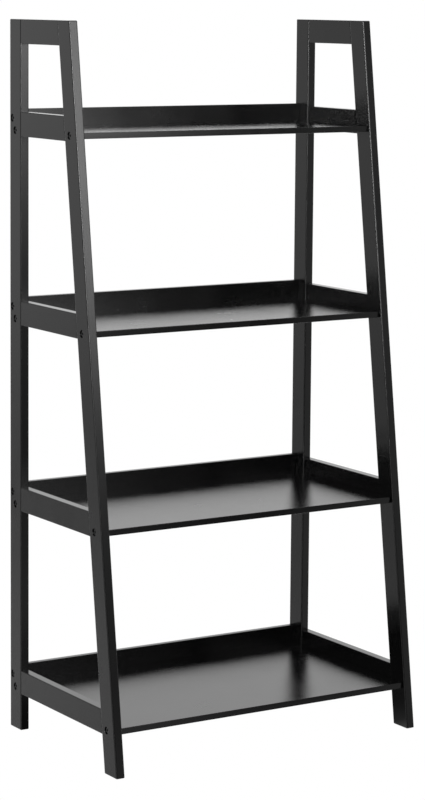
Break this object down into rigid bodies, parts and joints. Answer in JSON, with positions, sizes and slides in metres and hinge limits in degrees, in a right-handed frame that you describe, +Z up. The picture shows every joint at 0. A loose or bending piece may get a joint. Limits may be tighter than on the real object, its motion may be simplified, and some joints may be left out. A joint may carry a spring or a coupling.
{
  "type": "ladder shelf",
  "caption": "Freestanding ladder shelf: plumb rear posts and sloping front legs carry trays of growing depth with low back boards.",
  "frame": {"origin": "on the floor, at the middle of the outline in plan", "axes": "+X to the right as seen from the front, front legs slope towards -Y at the floor, +Z up"},
  "size_m": [0.636, 0.394, 1.3],
  "materials": {
    "black_lacquered_wood": "satin black lacquer",
    "black_steel": "satin black"
  },
  "bodies": {
    "root": {"left_rear_post": "black_lacquered_wood", "left_front_leg": "black_lacquered_wood", "left_top_rail": "black_lacquered_wood", "left_side_rail_1": "black_lacquered_wood", "left_side_rail_2": "black_lacquered_wood", "left_side_rail_3": "black_lacquered_wood", "left_side_rail_4": "black_lacquered_wood", "right_rear_post": "black_lacquered_wood", "right_front_leg": "black_lacquered_wood", "right_top_rail": "black_lacquered_wood", "right_side_rail_1": "black_lacquered_wood", "right_side_rail_2": "black_lacquered_wood", "right_side_rail_3": "black_lacquered_wood", "right_side_rail_4": "black_lacquered_wood", "shelf_panel_1": "black_lacquered_wood", "back_board_1": "black_lacquered_wood", "shelf_panel_2": "black_lacquered_wood", "back_board_2": "black_lacquered_wood", "shelf_panel_3": "black_lacquered_wood", "back_board_3": "black_lacquered_wood", "shelf_panel_4": "black_lacquered_wood", "back_board_4": "black_lacquered_wood", "left_board_bolt_1": "black_steel", "left_rear_bolt_1": "black_steel", "left_front_bolt_1": "black_steel", "left_board_bolt_2": "black_steel", "left_rear_bolt_2": "black_steel", "left_front_bolt_2": "black_steel", "left_board_bolt_3": "black_steel", "left_rear_bolt_3": "black_steel", "left_front_bolt_3": "black_steel", "left_board_bolt_4": "black_steel", "left_rear_bolt_4": "black_steel", "left_front_bolt_4": "black_steel", "right_board_bolt_1": "black_steel", "right_rear_bolt_1": "black_steel", "right_front_bolt_1": "black_steel", "right_board_bolt_2": "black_steel", "right_rear_bolt_2": "black_steel", "right_front_bolt_2": "black_steel", "right_board_bolt_3": "black_steel", "right_rear_bolt_3": "black_steel", "right_front_bolt_3": "black_steel", "right_board_bolt_4": "black_steel", "right_rear_bolt_4": "black_steel", "right_front_bolt_4": "black_steel"}
  },
  "joints": []
}
